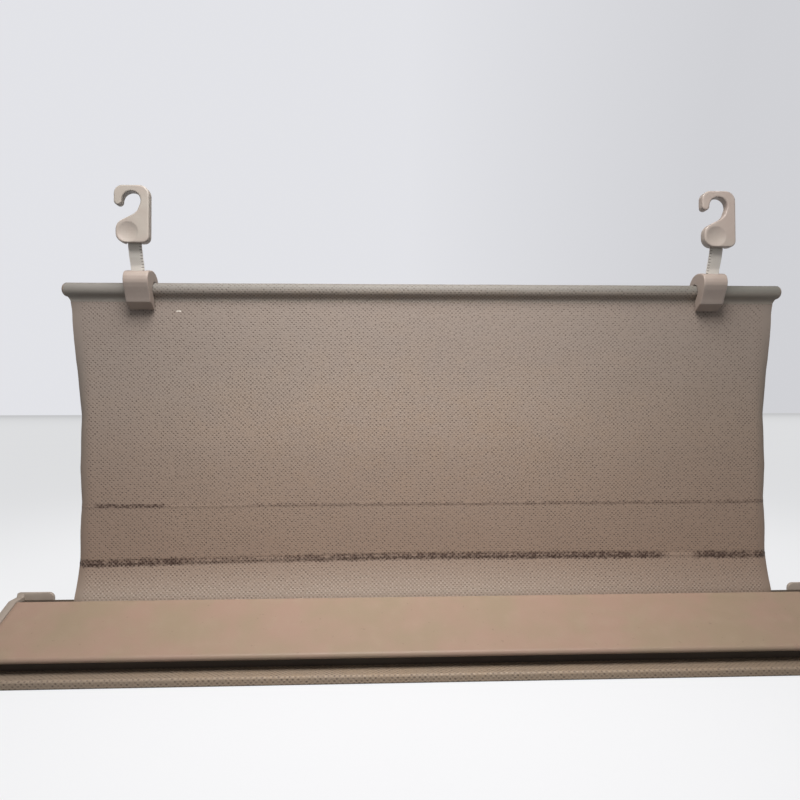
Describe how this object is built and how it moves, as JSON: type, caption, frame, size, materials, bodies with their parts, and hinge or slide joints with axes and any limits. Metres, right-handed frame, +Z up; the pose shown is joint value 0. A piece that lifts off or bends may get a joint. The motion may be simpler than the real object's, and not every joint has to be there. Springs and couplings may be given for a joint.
{
  "type": "pull-up roller sun blind",
  "caption": "Spring roller sun blind: a low cassette with a slot, a perforated vinyl sheet that pulls up from it, and a top rod with clips, short straps and hooks.",
  "frame": {"origin": "centre of the bounding box's footprint, on the cassette's flat underside", "axes": "+X along the roller and the pull rod, -Y towards the face that is looked at, +Z up, the way the sheet is pulled"},
  "size_m": [0.612, 0.0677, 0.3387],
  "materials": {
    "cover_beige": "satin moulded skin",
    "case_plastic": "dark matt",
    "cap_plastic": "matt",
    "perforated_vinyl": "soft vinyl with fine round perforations",
    "trim_vinyl": "perforated trim vinyl",
    "clip_plastic": "satin",
    "hook_plastic": "satin",
    "strap_webbing": "flat woven webbing",
    "steel": "plain",
    "aluminium": "mill finish",
    "nylon": "natural nylon"
  },
  "bodies": {
    "cassette": {"cover_panel": "cover_beige", "housing_base": "case_plastic", "base_trim_strip": "trim_vinyl", "end_cap_left": "cap_plastic", "end_cap_right": "cap_plastic", "cap_screw_left_front": "steel", "cap_screw_left_rear": "steel", "cap_screw_right_front": "steel", "cap_screw_right_rear": "steel", "spindle": "steel", "spindle_collar": "nylon", "torsion_spring": "steel", "idler_pin": "steel", "thrust_washer_left": "nylon", "thrust_washer_right": "nylon", "blind_panel": "perforated_vinyl"},
    "roller": {"roller_tube": "aluminium", "roller_plug_left": "nylon", "roller_plug_right": "nylon", "fabric_roll": "perforated_vinyl", "fabric_spline": "nylon"},
    "pull_bar": {"pull_rod": "aluminium", "rod_end_plug_left": "clip_plastic", "rod_end_plug_right": "clip_plastic", "hem_sleeve": "perforated_vinyl"},
    "clip_left": {"clip_left": "clip_plastic", "clip_pin_left": "steel"},
    "clip_right": {"clip_right": "clip_plastic", "clip_pin_right": "steel"},
    "strap_left": {"strap_left": "strap_webbing"},
    "strap_right": {"strap_right": "strap_webbing"},
    "hook_left": {"hook_left": "hook_plastic", "hook_pin_left": "steel"},
    "hook_right": {"hook_right": "hook_plastic", "hook_pin_right": "steel"}
  },
  "joints": [
    {"name": "bar_slide", "type": "slide", "parent": "cassette", "child": "pull_bar", "axis": [0, 0, 1], "range_m": [-0.21, 0], "deforming": ["blind_panel"]},
    {"name": "roller_spin", "type": "hinge", "parent": "cassette", "child": "roller", "pos_m": [0, 0.01805, 0.015], "axis": [1, 0, 0], "range_deg": [-1657, 0]},
    {"name": "clip_left_swivel", "type": "hinge", "parent": "pull_bar", "child": "clip_left", "pos_m": [-0.2124, 0.024, 0.268], "axis": [1, 0, 0], "range_deg": [-40, 0]},
    {"name": "strap_left_flex", "type": "hinge", "parent": "clip_left", "child": "strap_left", "pos_m": [-0.2124, 0.0134, 0.273], "axis": [1, 0, 0], "range_deg": [-30, 3]},
    {"name": "hook_left_tilt", "type": "hinge", "parent": "strap_left", "child": "hook_left", "pos_m": [-0.213, 0.0071, 0.3036], "axis": [1, 0, 0], "range_deg": [-45, 12]},
    {"name": "clip_right_swivel", "type": "hinge", "parent": "pull_bar", "child": "clip_right", "pos_m": [0.2124, 0.024, 0.268], "axis": [1, 0, 0], "range_deg": [-40, 0]},
    {"name": "strap_right_flex", "type": "hinge", "parent": "clip_right", "child": "strap_right", "pos_m": [0.2124, 0.0134, 0.273], "axis": [1, 0, 0], "range_deg": [-30, 3]},
    {"name": "hook_right_tilt", "type": "hinge", "parent": "strap_right", "child": "hook_right", "pos_m": [0.2118, 0.0071, 0.3036], "axis": [1, 0, 0], "range_deg": [-45, 12]}
  ],
  "couplings": [
    {"joint": "roller_spin", "follows": "bar_slide", "rad_per_m": 137.6}
  ]
}
